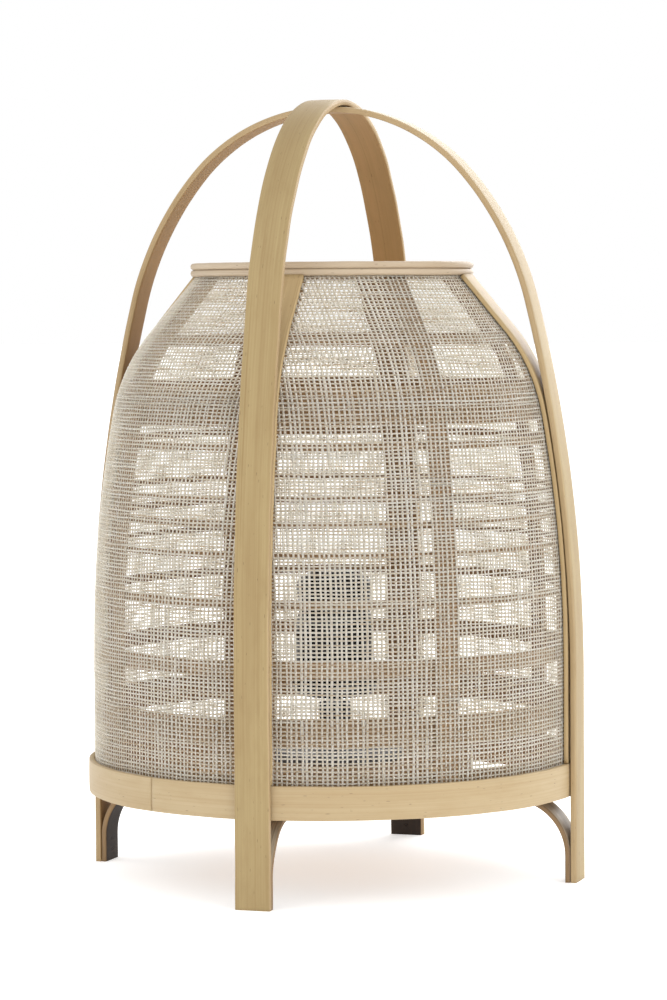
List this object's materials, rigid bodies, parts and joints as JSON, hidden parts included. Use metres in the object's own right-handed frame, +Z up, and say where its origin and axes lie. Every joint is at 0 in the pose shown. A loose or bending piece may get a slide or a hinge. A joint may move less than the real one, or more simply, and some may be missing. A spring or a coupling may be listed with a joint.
{
  "type": "lantern lamp",
  "caption": "Tall lantern lamp: two crossed bent bamboo hoops make handle and legs round an open-weave linen shade with a cane rim, a base band and a screw bulb inside.",
  "frame": {"origin": "centre of the four feet, on the surface the lamp stands on", "axes": "+Z up along the lamp's axis; the lower hoop lies in the XZ plane and the upper hoop in the YZ plane, so the four legs are at +X, +Y, -X and -Y"},
  "size_m": [0.424, 0.424, 0.6448],
  "materials": {
    "bamboo_strap": "split bamboo strap, straw tan, fine fibres, satin",
    "bamboo_dark": "bent bamboo strap, dark smoked inner face",
    "bamboo_band": "pale bamboo band, smooth, small pits",
    "bamboo_lattice": "brown bamboo sliver, raw",
    "rattan_cane": "split cane, pinkish cream",
    "linen_cloth": "open plain weave of slubby linen yarn, ecru",
    "floor_wood": "plain raw board",
    "steel_fixings": "plain steel",
    "grey_metal": "dark grey satin paint",
    "holder_plastic": "black moulded plastic",
    "grip_plastic": "black moulded plastic",
    "insulator_ceramic": "white ceramic",
    "contact_brass": "bare brass",
    "cap_metal": "rolled aluminium",
    "cap_insulator": "black glass insulator",
    "smoked_glass": "dark smoked glass",
    "clear_glass": "clear glass",
    "filament": "yellow coated light strip"
  },
  "bodies": {
    "lamp": {"base_band": "bamboo_band", "base_board": "floor_wood", "board_screws": "steel_fixings", "centre_contact": "contact_brass", "cloth_left_back": "linen_cloth", "cloth_left_front": "linen_cloth", "cloth_right_back": "linen_cloth", "cloth_right_front": "linen_cloth", "cord_grip": "grip_plastic", "cover_strip_back": "bamboo_strap", "cover_strip_front": "bamboo_strap", "cover_strip_left": "bamboo_strap", "cover_strip_right": "bamboo_strap", "floor_slat_across": "floor_wood", "floor_slat_along": "floor_wood", "holder_base": "holder_plastic", "holder_insulator": "insulator_ceramic", "holder_skirt": "holder_plastic", "hoop_pins": "steel_fixings", "inner_base_ring": "bamboo_lattice", "knee_brace_back": "bamboo_dark", "knee_brace_front": "bamboo_dark", "knee_brace_left": "bamboo_dark", "knee_brace_right": "bamboo_dark", "lamp_plate": "grey_metal", "nipple": "steel_fixings", "nipple_nut": "steel_fixings", "rim_cane_lower_inner": "rattan_cane", "rim_cane_lower_outer": "rattan_cane", "rim_cane_upper_inner": "rattan_cane", "rim_cane_upper_outer": "rattan_cane", "ring_low": "bamboo_lattice", "ring_low_wide": "bamboo_lattice", "ring_middle": "bamboo_lattice", "ring_middle_lower": "bamboo_lattice", "ring_middle_upper": "bamboo_lattice", "ring_neck": "bamboo_lattice", "ring_shoulder_wide": "bamboo_lattice", "ring_upper": "bamboo_lattice", "ring_waist": "bamboo_lattice", "screw_shell": "contact_brass", "seam_lath_back": "bamboo_lattice", "seam_lath_front": "bamboo_lattice", "seam_lath_left": "bamboo_lattice", "seam_lath_right": "bamboo_lattice", "shade_pins": "steel_fixings", "terminal_blocks": "contact_brass", "terminal_screws": "steel_fixings", "top_hoop": "bamboo_strap", "under_hoop": "bamboo_strap", "upright_left_back": "bamboo_lattice", "upright_left_front": "bamboo_lattice", "upright_right_back": "bamboo_lattice", "upright_right_front": "bamboo_lattice"},
    "bulb": {"bulb_cap": "cap_metal", "bulb_insulator": "cap_insulator", "bulb_tip": "contact_brass", "bulb_glass": "smoked_glass", "bulb_stem": "clear_glass", "bulb_filaments": "filament"}
  },
  "joints": [
    {"name": "bulb_turn", "type": "hinge", "parent": "lamp", "child": "bulb", "pos_m": [0, 0, 0.13], "axis": [0, 0, 1], "range_deg": [0, 1080]}
  ]
}
